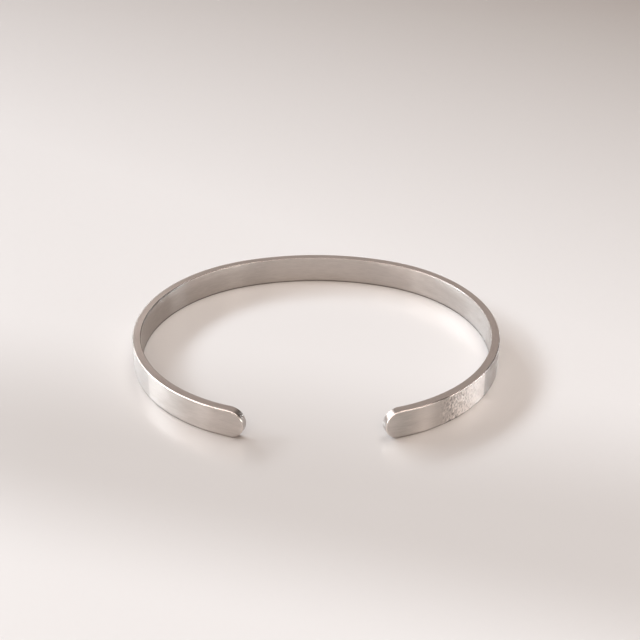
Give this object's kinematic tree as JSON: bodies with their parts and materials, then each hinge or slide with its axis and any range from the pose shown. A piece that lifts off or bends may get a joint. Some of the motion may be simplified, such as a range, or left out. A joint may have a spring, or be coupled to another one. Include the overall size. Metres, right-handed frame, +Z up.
{
  "type": "open cuff bangle",
  "caption": "Open oval cuff bangle bent from a flat steel bar, with half-round ends and a gap at the front for the wrist.",
  "frame": {"origin": "middle of the cuff's box, on the surface that its lower edge rests on", "axes": "+Z up from the resting edge, across the bar; +X across the wide way of the oval, with the gap between the tips facing -Y"},
  "size_m": [0.063, 0.0543, 0.005],
  "materials": {
    "steel": "stainless steel, finely brushed along the band to a satin shine, with a lightly hammered patch on the outer face"
  },
  "bodies": {
    "root": {"cuff_band": "steel"}
  },
  "joints": []
}
